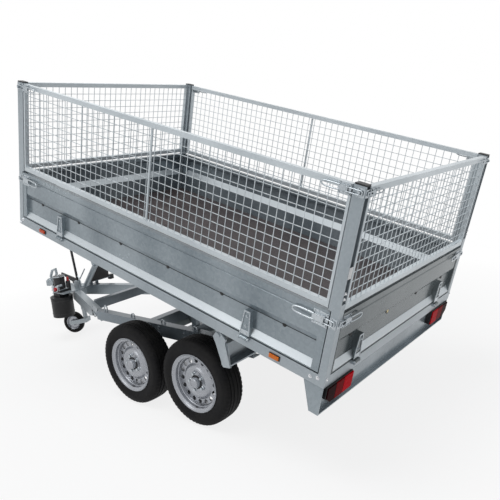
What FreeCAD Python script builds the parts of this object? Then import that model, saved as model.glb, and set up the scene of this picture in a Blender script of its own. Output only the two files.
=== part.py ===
import FreeCAD, Part
import math
import os

os.makedirs("parts", exist_ok=True)
V = FreeCAD.Vector

# Frame: X forward to the towing car, Y to the left, Z up, millimetres.
# The origin is the centre of the coupling ball.
# Sizes below are first given from the rear axle on the ground: x forward, z up.

# Driving sizes: stance
ball_ahead = 2665.0
ball_height = 425.0
wheel_base = 586.0
tyre_radius = 273.0
tyre_width = 157.0
rim_face_y = 740.0
jockey_radius = 100.0

# Driving sizes: bed
bed_length = 2620.0
bed_width = 1600.0
bed_tilt = 15.6
bed_overhang = 684.0
rail_height = 60.0
rail_width = 50.0
board_top = 390.0
mesh_top = 992.0
post_size = 42.0
post_length = 60.0
board_gap = 5.0
gate_gap = 17.0
gate_pin_radius = 6.0
gate_pin_length = 10.0
floor_thickness = 15.0
lamp_drop = 160.0

# Driving sizes: chassis
longeron_y = 380.0
beam_top = 486.0
beam_height = 86.0
beam_width = 60.0
beam_outer_y = 500.0
sheet = 5.0
leg_top = 450.0
leg_height = 90.0
leg_width = 60.0
tube_side = 80.0

# Hinge of the bed, on the end plates of the hinge beam
hinge_x = -287.0
hinge_z = 644.0
hinge_below_rail = 30.0
pin_radius = 12.0

# Ram: foot and eye lie equally far from the hinge of the bed
ram_foot_x = 450.0
ram_foot_z = 250.0
ram_eye_w = -60.0
ram_per_degree = 13.3
ram_stages = 3

half = bed_width / 2
floor_top = rail_height + floor_thickness
rail_z_down = hinge_z + hinge_below_rail
beam_bottom = beam_top - beam_height
tyre_y = rim_face_y - tyre_width / 2 + 6.0


def block(x0, x1, y0, y1, z0, z1):
    return Part.makeBox(x1 - x0, y1 - y0, z1 - z0, V(x0, y0, z0))


def rod(radius, start, end):
    along = end - start
    return Part.makeCylinder(radius, along.Length, start, along)


def hex_bar(radius, start, along, side):
    # Six-sided bar along a line, with one corner toward the given side
    up = side.normalize() if side.Length else V(0, 0, 1)
    other = along.cross(up).normalize()
    corners = []
    for i in range(6):
        angle = math.pi * i / 3
        corners.append(start + up * (radius * math.cos(angle)) + other * (radius * math.sin(angle)))
    return prism(corners, along)


def prism(points, along):
    face = Part.Face(Part.makePolygon(points + [points[0]]))
    return face.extrude(along)


def lathe(profile, start, axis):
    # profile: (distance along the axis, radius) pairs, closed by the axis or by themselves
    side = V(0, 0, 1) if abs(axis.z) < 0.9 else V(1, 0, 0)
    side = (side - axis * side.dot(axis)).normalize()
    points = [start + axis * a + side * r for a, r in profile]
    face = Part.Face(Part.makePolygon(points + [points[0]]))
    return face.revolve(start, axis, 360)


def union(shapes):
    whole = shapes[0]
    for shape in shapes[1:]:
        whole = whole.fuse(shape)
    return whole.removeSplitter()


def mirrored(shape):
    return shape.mirror(V(0, 0, 0), V(0, 1, 0))


def save(name, shapes, on_bed=False):
    shapes = shapes if isinstance(shapes, list) else [shapes]
    solids = []
    for shape in shapes:
        solids.extend(s.copy() for s in shape.Solids)
    whole = Part.makeCompound(solids) if len(solids) > 1 else solids[0]
    if on_bed:
        whole.translate(V(hinge_x - bed_overhang, 0, rail_z_down))
        whole.rotate(V(hinge_x, 0, hinge_z), V(0, -1, 0), bed_tilt)
    whole.translate(V(-ball_ahead, 0, -ball_height))
    whole.exportStep("parts/" + name + ".step")


# Chassis beams: channels with their open side inward
beam_start = hinge_x + 7.0
beam_end = 1230.0
inner = beam_outer_y - beam_width
channel = [
    V(beam_start, beam_outer_y, beam_bottom),
    V(beam_start, beam_outer_y, beam_top),
    V(beam_start, inner, beam_top),
    V(beam_start, inner, beam_top - sheet),
    V(beam_start, beam_outer_y - sheet, beam_top - sheet),
    V(beam_start, beam_outer_y - sheet, beam_bottom + sheet),
    V(beam_start, inner, beam_bottom + sheet),
    V(beam_start, inner, beam_bottom),
]
beam = prism(channel, V(beam_end - beam_start, 0, 0))
front_rise = 18.0
taper = prism(
    [
        V(beam_end + 1, 0, beam_bottom - 1),
        V(beam_end - 450, 0, beam_bottom - 1),
        V(beam_end - 330, 0, beam_bottom + front_rise),
        V(beam_end + 1, 0, beam_bottom + front_rise),
    ],
    V(0, 700, 0),
)
beam = beam.cut(taper)
save("chassis_beams", [beam, mirrored(beam)])

# Cross bars between the beams and between the drawbar legs, with rests for the bed
rest_top = 585.0
web_inner = beam_outer_y - sheet
bar_low = beam_bottom + sheet
bar_high = beam_top - sheet
bars = []
bar_width = 60.0
bar_starts = (ram_foot_x - 180.0, ram_foot_x + 190.0)
for x0 in bar_starts:
    bars.append(block(x0, x0 + bar_width, -web_inner, web_inner, bar_low, bar_high))

# Drawbar legs
apex_x = ball_ahead - 340.0
leg_start_x = beam_end - 40.0
leg_start_y = beam_outer_y - 34.65
leg_end_x = apex_x - 185.0
leg_rate = leg_start_y / (apex_x - leg_start_x)
leg_angle = math.atan(leg_rate)
across = leg_width / 2 / math.cos(leg_angle)
leg_low = leg_top - leg_height


def leg_y(x):
    return leg_rate * (apex_x - x)


leg = prism(
    [
        V(leg_start_x, leg_y(leg_start_x) - across, leg_low),
        V(leg_end_x, leg_y(leg_end_x) - across, leg_low),
        V(leg_end_x, leg_y(leg_end_x) + across, leg_low),
        V(leg_start_x, leg_y(leg_start_x) + across, leg_low),
    ],
    V(0, 0, leg_height),
)
leg = leg.cut(beam)
leg_rise = 48.0
leg = leg.cut(
    prism(
        [
            V(leg_start_x - 1, 0, leg_low - 1),
            V(leg_start_x - 1, 0, leg_low + leg_rise),
            V(leg_start_x + 140, 0, leg_low + leg_rise),
            V(leg_start_x + 360, 0, leg_low - 1),
        ],
        V(0, 700, 0),
    )
)
pocket_x = leg_start_x + 210.0
leg = leg.cut(
    block(
        pocket_x, pocket_x + 52, leg_y(pocket_x) - 12, leg_y(pocket_x) + 60, leg_low + 20, leg_top - 16
    )
)
leg = max(leg.Solids, key=lambda s: s.Volume)
pack_x = leg_end_x + 14.0
pack_y = 212.0
step_y = 84.0
bracket = block(pack_x - 120, pack_x - 40, step_y + 4, step_y + 10, leg_top + 0.3, leg_top + 72)
shelf = block(pack_x - 120, pack_x + 50, step_y + 4, pack_y + 50, leg_top + 0.3, leg_top + 6.3)
save("drawbar_legs", [leg, mirrored(leg), union([bracket, shelf])])

# Bar between the legs
cross_x0 = leg_end_x - 605.0
cross_x1 = cross_x0 + 50.0
cross_low = leg_low + 30.0
cross_bar = prism(
    [
        V(cross_x0, -leg_y(cross_x0) + across + 0.2, cross_low),
        V(cross_x1, -leg_y(cross_x1) + across + 0.2, cross_low),
        V(cross_x1, leg_y(cross_x1) - across - 0.2, cross_low),
        V(cross_x0, leg_y(cross_x0) - across - 0.2, cross_low),
    ],
    V(0, 0, leg_height - 16),
)
bars.append(cross_bar)
rest_x = bar_starts[0] + 10.0
rests = []
for y in (-longeron_y, longeron_y):
    rests.append(block(rest_x, rest_x + 40, y - 18, y + 18, bar_high - 1, rest_top))
bars[0] = union([bars[0]] + rests)
step_x = leg_end_x - 100.0
step = block(step_x, step_x + 72, -leg_y(step_x) - 10, step_y, leg_top + 0.3, leg_top + 6)
tray_x0 = step_x - 20.0
tray_x1 = tray_x0 + 76.0
tray_y0 = -236.0
tray_y1 = -30.0
tray_high = leg_top + 46.0
tray = [step, block(tray_x0, tray_x1, tray_y0, tray_y1, tray_high - 6, tray_high)]
for y in (-leg_y(step_x), tray_y1 - 26):
    tray.append(block(step_x + 8, step_x + 50, y - 3, y + 3, leg_top + 5, tray_high - 3))
bars.append(union(tray))
save("chassis_crossbars", bars)

# Hinge beam: deep cross panel behind the rear wheels, with end plates that carry the pins
plate_y0 = half - 25.0
plate_y1 = half - 13.0
beam_x0 = hinge_x - 53.0
beam_x1 = beam_start
panel_low = hinge_z - 182.0
panel_high = hinge_z - 44.0
panel = block(beam_x0, beam_x1, -plate_y0, plate_y0, panel_low, panel_high)
panel = panel.cut(block(beam_x0 - 1, beam_x1 - 6, -plate_y0 + 8, plate_y0 - 8, panel_low + 8, panel_high - 8))
end_plate = prism(
    [
        V(hinge_x - 13, plate_y0, panel_low - 3),
        V(hinge_x - 65, plate_y0, panel_low),
        V(hinge_x - 43, plate_y0, panel_high),
        V(hinge_x - 51, plate_y0, panel_high + 22),
        V(hinge_x - 20, plate_y0, hinge_z + 12),
        V(hinge_x + 20, plate_y0, hinge_z + 12),
        V(hinge_x + 41, plate_y0, hinge_z - 14),
        V(hinge_x + 25, plate_y0, panel_high - 10),
    ],
    V(0, plate_y1 - plate_y0, 0),
)
pin = rod(pin_radius, V(hinge_x, half - 50, hinge_z), V(hinge_x, plate_y1 + 6, hinge_z))
side = union([end_plate, pin])
save("hinge_beam", union([panel, side, mirrored(side)]))

# Axles: cross tube, trailing arms and stubs
hub_inner_y = tyre_y - 45.0
arm_y = beam_outer_y + 30.0
arm_width = 32.0
axles = []
for axle_x in (0.0, wheel_base):
    tube_x = axle_x + 150.0
    tube = block(tube_x - 35, tube_x + 35, -arm_y, arm_y, beam_bottom - 72, beam_bottom - 0.5)
    arm = prism(
        [
            V(tube_x + 35, arm_y, beam_bottom - 10),
            V(tube_x + 35, arm_y, beam_bottom - 72),
            V(axle_x + 10, arm_y, tyre_radius - 38),
            V(axle_x - 38, arm_y, tyre_radius - 20),
            V(axle_x - 38, arm_y, tyre_radius + 25),
            V(tube_x - 35, arm_y, beam_bottom - 4),
        ],
        V(0, arm_width, 0),
    )
    stub = rod(25, V(axle_x, arm_y + 10, tyre_radius), V(axle_x, hub_inner_y + 30, tyre_radius))
    arm = union([arm, stub])
    axles.append(union([tube, arm, mirrored(arm)]))
save("axles", axles)

# Wheels: profiles run along the axle, outward positive
tyre_profile = [
    (-60, 166), (-73, 200), (-78.5, 228), (-72, 258), (-50, 272),
    (0, tyre_radius),
    (50, 272), (72, 258), (78.5, 228), (73, 200), (60, 166),
]
rim_profile = [
    (-73, 182.5), (-60, 165.5), (60, 165.5), (73, 182.5),
    (62, 158), (30, 146), (30, 116), (50, 84), (44, 46),
    (76, 30), (78, 0), (-12, 0), (-12, 25.8), (-45, 25.8),
    (-45, 104), (16, 104), (16, 152), (-62, 158),
]
vent_count = 16
vent_radius = 12.0
vent_circle = 131.0
for x_name, axle_x in (("rear", 0.0), ("front", wheel_base)):
    for y_name, sign in (("left", 1), ("right", -1)):
        centre = V(axle_x, sign * tyre_y, tyre_radius)
        axle = V(0, sign, 0)
        save("tyre_" + x_name + "_" + y_name, lathe(tyre_profile, centre, axle))
        rim = lathe(rim_profile, centre, axle)
        vents = []
        for i in range(vent_count):
            angle = 2 * math.pi * i / vent_count
            spot = V(math.cos(angle) * vent_circle, 0, math.sin(angle) * vent_circle)
            vents.append(hex_bar(vent_radius, centre + spot + axle * 12, axle * 50, spot))
        rim = rim.cut(Part.makeCompound(vents))
        save("rim_" + x_name + "_" + y_name, rim)

# Line of the jockey wheel's post
lean = 0.12
post_x = leg_end_x + 10.0
post_low = jockey_radius + 18.0


def on_jockey(z):
    return V(post_x + lean * (z - post_low), 0, z)


# Draw tube, gaiter, coupling head
tube_x0 = leg_end_x + 60.0
tube_x1 = ball_ahead - 195.0
draw_low = ball_height - 60.0
draw_tube = block(tube_x0, tube_x1, -tube_side / 2, tube_side / 2, draw_low, draw_low + tube_side)
gusset = prism(
    [
        V(leg_end_x + 0.5, -leg_y(leg_end_x) - across, leg_low),
        V(tube_x0 + 70, -tube_side / 2 - 6, leg_low),
        V(tube_x0 + 70, tube_side / 2 + 6, leg_low),
        V(leg_end_x + 0.5, leg_y(leg_end_x) + across, leg_low),
    ],
    V(0, 0, leg_height),
)
draw_tube = union([draw_tube, gusset])
draw_tube = draw_tube.cut(rod(24.3, on_jockey(300), on_jockey(560)))
save("draw_tube", draw_tube)

gaiter_profile = [(0, 34)]
pleats = 6
pitch = 100.0 / pleats
for i in range(pleats):
    gaiter_profile.append((i * pitch + pitch * 0.5, 44))
    gaiter_profile.append(((i + 1) * pitch, 34))
gaiter_profile += [(100, 0), (0, 0)]
gaiter_z = draw_low + tube_side / 2
save("overrun_gaiter", lathe(gaiter_profile, V(tube_x1, 0, gaiter_z), V(1, 0, 0)))

# Coupling head: body with a ball socket open downward, nose and hand grip
socket_radius = 25.25
skirt = 22.0
head_x0 = tube_x1 + 100.0
body = block(head_x0, ball_ahead - 20, -32, 32, ball_height - 14, ball_height + 34)
cup = rod(38, V(ball_ahead, 0, ball_height - skirt), V(ball_ahead, 0, ball_height + 24))
dome = Part.makeSphere(38, V(ball_ahead, 0, ball_height + 8))
dome = dome.common(block(ball_ahead - 50, ball_ahead + 50, -50, 50, ball_height, ball_height + 60))
head = union([body, cup, dome])
hollow = rod(socket_radius, V(ball_ahead, 0, ball_height - skirt - 1), V(ball_ahead, 0, ball_height))
hollow = hollow.fuse(Part.makeSphere(socket_radius, V(ball_ahead, 0, ball_height)))
head = head.cut(hollow)
grip_width = 18.0
loop_outer = [
    V(head_x0 + 4, 0, ball_height + 30),
    V(head_x0 - 48, 0, ball_height + 104),
    V(head_x0 - 36, 0, ball_height + 158),
    V(head_x0 + 36, 0, ball_height + 134),
    V(head_x0 + 78, 0, ball_height + 72),
    V(head_x0 + 70, 0, ball_height + 30),
]
loop_inner = [
    V(head_x0 + 22, 0, ball_height + 36),
    V(head_x0 - 30, 0, ball_height + 108),
    V(head_x0 - 24, 0, ball_height + 138),
    V(head_x0 + 24, 0, ball_height + 120),
    V(head_x0 + 58, 0, ball_height + 70),
    V(head_x0 + 52, 0, ball_height + 36),
]
loop = prism(loop_outer, V(0, grip_width, 0))
loop = loop.cut(prism(loop_inner, V(0, grip_width, 0)))
loop.translate(V(0, -grip_width / 2, 0))
head = head.fuse(loop)
save("coupling_head", head.removeSplitter())

# Hand brake lever on the right of the draw tube
lever_x = tube_x0 + 100.0
lever_y = -tube_side / 2 - 20.0
lever_z = ball_height + 47.0
lever = prism(
    [
        V(lever_x, lever_y, lever_z - 20),
        V(lever_x + 45, lever_y, lever_z - 20),
        V(lever_x + 232, lever_y, lever_z + 40),
        V(lever_x + 228, lever_y, lever_z + 56),
        V(lever_x, lever_y, lever_z + 20),
    ],
    V(0, 12, 0),
)
pivot = rod(12, V(lever_x + 22, lever_y + 10, lever_z), V(lever_x + 22, -tube_side / 2 - 0.3, lever_z))
lug_plate = block(
    lever_x, lever_x + 45, -tube_side / 2 - 6, -tube_side / 2 - 0.3, draw_low + 55, draw_low + tube_side + 45
)
save("brake_lever", union([lever, pivot, lug_plate]))

# Power pack: tank and pump below the plate on the left leg, motor and relay above it
tank_radius = 94.0
tank_high = leg_top - 38.0
tank_low = tank_high - 180.0
tank = rod(tank_radius, V(pack_x, pack_y, tank_low), V(pack_x, pack_y, tank_high - 14))
lid = rod(tank_radius + 3, V(pack_x, pack_y, tank_high - 14), V(pack_x, pack_y, tank_high))
pump = block(pack_x - 45, pack_x + 45, pack_y - 45, pack_y + 45, tank_high - 1, leg_top)
save("power_pack_tank", union([tank, lid, pump]))
motor_low = leg_top + 6.6
base = block(pack_x - 60, pack_x + 45, pack_y - 45, pack_y + 45, motor_low, motor_low + 22)
motor = rod(48, V(pack_x, pack_y, motor_low + 20), V(pack_x, pack_y, motor_low + 140))
relay = rod(20, V(pack_x - 40, pack_y - 60, motor_low), V(pack_x - 40, pack_y - 60, motor_low + 85))
save("power_pack_motor", union([base, motor, relay]))

# Battery box with a sloping side, beside the stay on the right leg
box_top = tray_high + 190.0
box_right = tray_y0 + 12.0
box_left = tray_y1 - 6.0
box_slope = 0.58 * (box_top - tray_high)
box_body = prism(
    [
        V(tray_x0 + 3, box_right, tray_high + 0.3),
        V(tray_x0 + 3, box_left, tray_high + 0.3),
        V(tray_x0 + 3, box_left - box_slope, box_top),
        V(tray_x0 + 3, box_right, box_top),
    ],
    V(tray_x1 - tray_x0 - 6, 0, 0),
)
box_lid = block(tray_x0 - 4, tray_x1 - 0.5, box_right - 6, box_left - box_slope + 6, box_top, box_top + 26)
box_lug = block(tray_x0 + 3, tray_x0 + 40, box_right - 54, box_right + 1, tray_high - 30, tray_high + 12)
box_lug = box_lug.cut(block(tray_x0, tray_x1, tray_y0 - 0.5, tray_y1, tray_high - 40, tray_high + 0.3))
save("battery_box", union([box_body, box_lid, box_lug]))

# Leaning stay with a forked head
stay_x = leg_end_x - 53.0
stay_head = V(stay_x - 199, 0, leg_top + 218)
stay = rod(24, V(stay_x, 0, leg_top - 5), stay_head)
stay = stay.cut(block(stay_x - 90, stay_x + 110, -60, 60, leg_top - 50, leg_top + 12))
stay = stay.fuse(block(stay_x - 43, stay_x + 19, -34, 34, leg_top + 6.3, leg_top + 13))
arm_up = rod(17, stay_head + V(17, 0, -18), stay_head + V(42, 0, 77))
arm_back = rod(13, stay_head + V(12, 0, -13), stay_head + V(-14, 0, 44))
save("front_stay", union([stay, arm_up, arm_back]))

# Jockey wheel: outer tube in the crotch, black spindle, swivelling fork and wheel
tube_outer = rod(24, on_jockey(225), on_jockey(500)).cut(rod(21, on_jockey(200), on_jockey(480)))
save("jockey_tube", tube_outer)
spindle = rod(11, on_jockey(500), on_jockey(800))
crank = rod(8, on_jockey(792), on_jockey(792) + V(-70, 0, 4))
grip = rod(14, on_jockey(792) + V(-70, 0, 4), on_jockey(792) + V(-78, 0, 70))
save("jockey_spindle", union([spindle, crank, grip]))

swivel_angle = 25.0
trail = 128.0
to_wheel = V(math.cos(math.radians(swivel_angle)), math.sin(math.radians(swivel_angle)), 0)
wheel_side = V(-to_wheel.y, to_wheel.x, 0)
foot_point = on_jockey(post_low)
wheel_centre = V(foot_point.x, 0, 0) + to_wheel * trail + V(0, 0, jockey_radius)
inner_tube = rod(20, on_jockey(108), on_jockey(440))
fork = inner_tube
for sign in (1, -1):
    near = V(foot_point.x, 0, 0) + wheel_side * (sign * 32.0)
    fork = fork.fuse(
        prism(
            [
                near + to_wheel * -22 + V(0, 0, 108),
                near + to_wheel * (trail + 18) + V(0, 0, 82),
                near + to_wheel * (trail + 18) + V(0, 0, 118),
                near + to_wheel * -22 + V(0, 0, 150),
            ],
            wheel_side * (sign * 6.0),
        )
    )
yoke_corner = V(foot_point.x, 0, 108) - wheel_side * 38
yoke = prism(
    [
        yoke_corner - to_wheel * 24,
        yoke_corner - to_wheel * 16,
        yoke_corner - to_wheel * 16 + wheel_side * 76,
        yoke_corner - to_wheel * 24 + wheel_side * 76,
    ],
    V(0, 0, 42),
)
fork = fork.fuse(yoke)
axle_pin = rod(8, wheel_centre - wheel_side * 38, wheel_centre + wheel_side * 38)
fork = fork.fuse(axle_pin)
save("jockey_fork", fork.removeSplitter())
jockey_tyre = [(-15, 66), (-25, 72), (-25, 88), (-17, 98), (0, jockey_radius), (17, 98), (25, 88), (25, 72), (15, 66)]
jockey_rim = [(-26, 9), (-26, 24), (-4, 30), (-4, 52), (-20, 65.8), (20, 65.8), (4, 52), (4, 30), (26, 24), (26, 9)]
save("jockey_tyre", lathe(jockey_tyre, wheel_centre, wheel_side))
save("jockey_rim", lathe(jockey_rim, wheel_centre, wheel_side))

# Ram geometry: both ends sit on one circle about the hinge
eye_u_arm = math.hypot(ram_foot_x - hinge_x, ram_foot_z - hinge_z)
ram_reach = eye_u_arm
eye_drop = -(ram_eye_w + hinge_below_rail)
eye_run = math.sqrt(ram_reach ** 2 - eye_drop ** 2)
eye_u = bed_overhang + eye_run
foot_angle = math.degrees(math.atan2(ram_foot_z - hinge_z, ram_foot_x - hinge_x))
eye_angle_down = math.degrees(math.atan2(-eye_drop, eye_run))
spread = eye_angle_down + bed_tilt - foot_angle
ram_length = 2 * ram_reach * math.sin(math.radians(spread / 2))
ram_turn = (foot_angle + eye_angle_down + bed_tilt) / 2 + 90.0
ram_axis = V(math.cos(math.radians(ram_turn)), 0, math.sin(math.radians(ram_turn)))
ram_foot = V(ram_foot_x, 0, ram_foot_z)
closed_length = ram_length - ram_per_degree * bed_tilt
stage_move = (ram_length - closed_length) / ram_stages
stage_length = 262.0


def along_ram(distance):
    return ram_foot + ram_axis * distance


def slot_shape(radius, low, high, reach):
    # A bar across the ram with rounded ends, around the pin of the bed's bracket
    a = along_ram(ram_length + low)
    b = along_ram(ram_length + high)
    wide = V(0, reach, 0)
    out = V(-ram_axis.z, 0, ram_axis.x) * radius
    middle = prism([a - wide + out, b - wide + out, b - wide - out, a - wide - out], wide * 2)
    return union([rod(radius, a - wide, a + wide), rod(radius, b - wide, b + wide), middle])


# Ram barrel with its foot pin
cradle_y = 58.0
cradle_sheet = 10.0
barrel = rod(52, along_ram(30), along_ram(300)).cut(rod(45.5, along_ram(42), along_ram(301)))
foot_block = rod(28, V(ram_foot_x, -52, ram_foot_z), V(ram_foot_x, 52, ram_foot_z))
foot_block = foot_block.fuse(rod(26, along_ram(0), along_ram(34)))
foot_pin = rod(14, V(ram_foot_x, -cradle_y - 8, ram_foot_z), V(ram_foot_x, cradle_y + 8, ram_foot_z))
save("ram_barrel", union([barrel, foot_block, foot_pin]))
stage_radii = [(44.5, 37.0), (36.0, 28.5), (27.5, 0.0)]
for i, (outer, bore) in enumerate(stage_radii):
    move = stage_move * (i + 1)
    start = 46.0 + 4.0 * i + move
    end = start + stage_length + 8.0 * i
    stage = rod(outer, along_ram(start), along_ram(end))
    if bore:
        stage = stage.cut(rod(bore, along_ram(start - 1), along_ram(end + 1)))
    else:
        stage = union([stage, slot_shape(24, -14, 0, 22), rod(18, along_ram(end), along_ram(ram_length - 30))])
        stage = stage.cut(slot_shape(pin_radius + 1.5, -11, 4, 30))
    save("ram_stage_" + str(i + 1), stage)

# Cradle under the cross bars that holds the foot pin
cheek = prism(
    [
        V(bar_starts[0] + 5, cradle_y, bar_low - 0.3),
        V(bar_starts[1] + 50, cradle_y, bar_low - 0.3),
        V(bar_starts[1] + 50, cradle_y, bar_low - 50),
        V(ram_foot_x + 50, cradle_y, ram_foot_z - 36),
        V(ram_foot_x - 50, cradle_y, ram_foot_z - 36),
        V(bar_starts[0] + 5, cradle_y, bar_low - 50),
    ],
    V(0, cradle_sheet, 0),
)
cheek = cheek.cut(rod(14.6, V(ram_foot_x, 40, ram_foot_z), V(ram_foot_x, 80, ram_foot_z)))
save("ram_cradle", [cheek, mirrored(cheek)])

# Bed, drawn level: u along the bed from its rear edge, v left, w up from the rail bottom
rail_in = half - rail_width
lug = prism(
    [
        V(bed_overhang - 60, rail_in + 6, 0),
        V(bed_overhang - 22, rail_in + 6, -hinge_below_rail - 16),
        V(bed_overhang + 22, rail_in + 6, -hinge_below_rail - 16),
        V(bed_overhang + 60, rail_in + 6, 0),
    ],
    V(0, 12, 0),
)
lug = lug.cut(
    rod(pin_radius + 1, V(bed_overhang, rail_in, -hinge_below_rail), V(bed_overhang, half, -hinge_below_rail))
)
side_rail = union([block(rail_width, bed_length - rail_width, rail_in, half, 0, rail_height), lug])
rear_rail = block(0, rail_width - 0.2, -half, half, 0, rail_height)
front_rail = block(bed_length - rail_width + 0.2, bed_length, -half, half, 0, rail_height)

# Board hinges: eyes on the rails, knuckles on the boards
strap_width = 44.0
strap_height = 136.0
knuckle_radius = 10.0
hinge_out = 12.0
board_hinge_w = 50.0
side_hinge_inset = 497.0
rear_hinge_inset = 280.0
side_hinges = (side_hinge_inset, bed_length - side_hinge_inset)
rear_hinges = (rear_hinge_inset - half, half - rear_hinge_inset)


def side_cheeks(u):
    pieces = []
    low = board_hinge_w - 11
    outer = half + hinge_out + 9.5
    for a in (-strap_width / 2 - 8, strap_width / 2 + 2):
        outline = [
            V(u + a, half - 1, low),
            V(u + a, outer - 4, low),
            V(u + a, outer, low + 5),
            V(u + a, outer, low + 14),
            V(u + a, outer - 5, low + 19),
            V(u + a, half - 1, low + 19),
        ]
        pieces.append(prism(outline, V(6, 0, 0)))
    pin_start = V(u - strap_width / 2 - 8, half + hinge_out, board_hinge_w)
    pin_end = V(u + strap_width / 2 + 8, half + hinge_out, board_hinge_w)
    pieces.append(rod(4.5, pin_start, pin_end))
    return pieces


for u in side_hinges:
    side_rail = union([side_rail] + side_cheeks(u))


def to_rear(shape):
    # Turns a piece drawn on the left side to the rear side: u becomes v
    turned = shape.copy()
    turned.rotate(V(0, 0, 0), V(0, 0, 1), 90)
    turned.translate(V(half, 0, 0))
    return turned


for v in rear_hinges:
    rear_rail = union([rear_rail] + [to_rear(s) for s in side_cheeks(v)])
save("bed_rails", [side_rail, mirrored(side_rail), rear_rail, front_rail], on_bed=True)

# Floor and its bearers
floor_inset = 33.0
floor = block(
    floor_inset, bed_length - floor_inset, -half + floor_inset, half - floor_inset, rail_height + 0.2, floor_top
)
notch = post_size + 1.0
for u0 in (0.0, bed_length - notch):
    for v0 in (-half, half - notch):
        floor = floor.cut(block(u0, u0 + notch, v0, v0 + notch, 0, floor_top + 1))
save("floor_panel", floor, on_bed=True)
bearers = []
bearer_low = 12.0
bearer_inset = 300.0
bearer_count = 5
for i in range(bearer_count):
    u = bearer_inset + i * (bed_length - 2 * bearer_inset) / (bearer_count - 1)
    bearers.append(block(u - 25, u + 25, -rail_in + 0.3, rail_in - 0.3, bearer_low, rail_height - 0.2))
longeron_low = -84.0
longeron = block(bed_overhang + 40, bed_length - 150, longeron_y - 30, longeron_y + 30, longeron_low, bearer_low - 0.3)

# Bracket for the eye of the ram, between the longerons
ears = block(eye_u - 60, eye_u + 60, -longeron_y + 30.3, longeron_y - 30.3, -34, bearer_low - 0.3)
ears = ears.cut(block(eye_u - 61, eye_u + 61, -27, 27, -40, -16))
for sign in (1, -1):
    ear = prism(
        [
            V(eye_u - 45, sign * 28, -34),
            V(eye_u - 24, sign * 28, ram_eye_w - 22),
            V(eye_u + 24, sign * 28, ram_eye_w - 22),
            V(eye_u + 45, sign * 28, -34),
        ],
        V(0, sign * 10, 0),
    )
    ears = ears.fuse(ear)
ears = ears.fuse(rod(pin_radius, V(eye_u, -44, ram_eye_w), V(eye_u, 44, ram_eye_w)))
save("bed_subframe", bearers + [longeron, mirrored(longeron), ears.removeSplitter()], on_bed=True)

# Corner posts, with bores for the pins of the mesh gates
frame_side = 28.0
frame_out = half - 2.0
mesh_low = board_top + gate_gap
gate_v = frame_out - frame_side / 2
gate_w = mesh_low + frame_side / 2
pin_reach = board_gap + gate_pin_length
bore_radius = gate_pin_radius + 0.3
post_wall = 5.0
sleeve_low = board_top + 10.0
groove_low = gate_w + bore_radius + 16.0
posts = []
for at_rear in (True, False):
    for sign in (-1, 1):
        v0 = -half if sign < 0 else half - post_size
        v1 = v0 + post_size
        post = block(0, post_size, v0, v1, rail_height + 0.3, mesh_top)
        sleeve = block(0, post_length, v0, v1, sleeve_low, mesh_top)
        groove = block(-1, post_length - 10, v0 + post_wall, v1 - post_wall, groove_low, mesh_top + 1)
        side_bore = rod(
            bore_radius,
            V(board_gap + post_length - pin_reach - 1, sign * gate_v, gate_w),
            V(post_length + 1, sign * gate_v, gate_w),
        )
        post = post.fuse(sleeve).removeSplitter().cut(groove).cut(side_bore)
        if at_rear:
            reach = half - post_size - board_gap + pin_reach + 1
            rear_bore = rod(bore_radius, V(half - gate_v, -reach, gate_w), V(half - gate_v, reach, gate_w))
            post = post.cut(rear_bore)
        else:
            post = post.mirror(V(bed_length / 2, 0, 0), V(1, 0, 0))
        posts.append(post)
save("corner_posts", posts, on_bed=True)

# Boards: pressed profile with a lower field set inward on both sides, and end stiffeners
board_low = rail_height + 8.0
board_section = [
    (half - 30, board_low), (half, board_low), (half, board_low + 6), (half - 22, board_low + 42),
    (half - 22, 214), (half - 3, 246), (half - 3, board_top - 44), (half - 7, board_top - 40),
    (half - 7, board_top - 36), (half, board_top - 32), (half, board_top), (half - 30, board_top),
    (half - 30, board_top - 28), (half - 9, board_top - 50), (half - 9, 252), (half - 30, 208),
]
side_stiffener = 41.0
end_stiffener = 10.0


def side_board(start, end, hinges, stiffener):
    points = [V(start, y, z) for y, z in board_section]
    board = prism(points, V(end - start, 0, 0))
    for a in (start, end - stiffener):
        board = board.fuse(block(a, a + stiffener, half - 30, half, board_low, board_top))
    for u in hinges:
        strap = prism(
            [
                V(u - strap_width / 2 - 12, half - 1, board_low),
                V(u + strap_width / 2 + 12, half - 1, board_low),
                V(u + strap_width / 2 - 2, half - 1, board_low + strap_height),
                V(u - strap_width / 2 + 2, half - 1, board_low + strap_height),
            ],
            V(0, 7, 0),
        )
        web = block(u - 20, u + 20, half - 24, half - 1, board_low + 16, board_low + strap_height)
        tail = block(
            u - strap_width / 2, u + strap_width / 2, half + 1, half + 6, board_hinge_w + 4, board_low + 4
        )
        knuckle = rod(
            knuckle_radius,
            V(u - strap_width / 2, half + hinge_out, board_hinge_w),
            V(u + strap_width / 2, half + hinge_out, board_hinge_w),
        )
        link = block(
            u - strap_width / 2,
            u + strap_width / 2,
            half + 1,
            half + hinge_out,
            board_hinge_w + 4,
            board_hinge_w + 10,
        )
        bore = rod(
            5.2,
            V(u - strap_width / 2 - 1, half + hinge_out, board_hinge_w),
            V(u + strap_width / 2 + 1, half + hinge_out, board_hinge_w),
        )
        strap = union([strap, web, tail, knuckle, link]).cut(bore)
        board = board.fuse(strap)
    return board.removeSplitter()


board_start = post_size + board_gap
left_board = side_board(board_start, bed_length - board_start, side_hinges, side_stiffener)
save("board_left", left_board, on_bed=True)
save("board_right", mirrored(left_board), on_bed=True)
rear_board = to_rear(side_board(-half + board_start, half - board_start, rear_hinges, end_stiffener))
save("board_rear", rear_board, on_bed=True)
front_board = to_rear(side_board(-half + post_size + 0.5, half - post_size - 0.5, (), end_stiffener))
front_board = front_board.mirror(V(bed_length / 2, 0, 0), V(1, 0, 0))
save("board_front", front_board, on_bed=True)

# Mesh panels: square tube frame with two layers of welded wire
wire = 3.2
cell = 50.0
upright = 14.0


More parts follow.
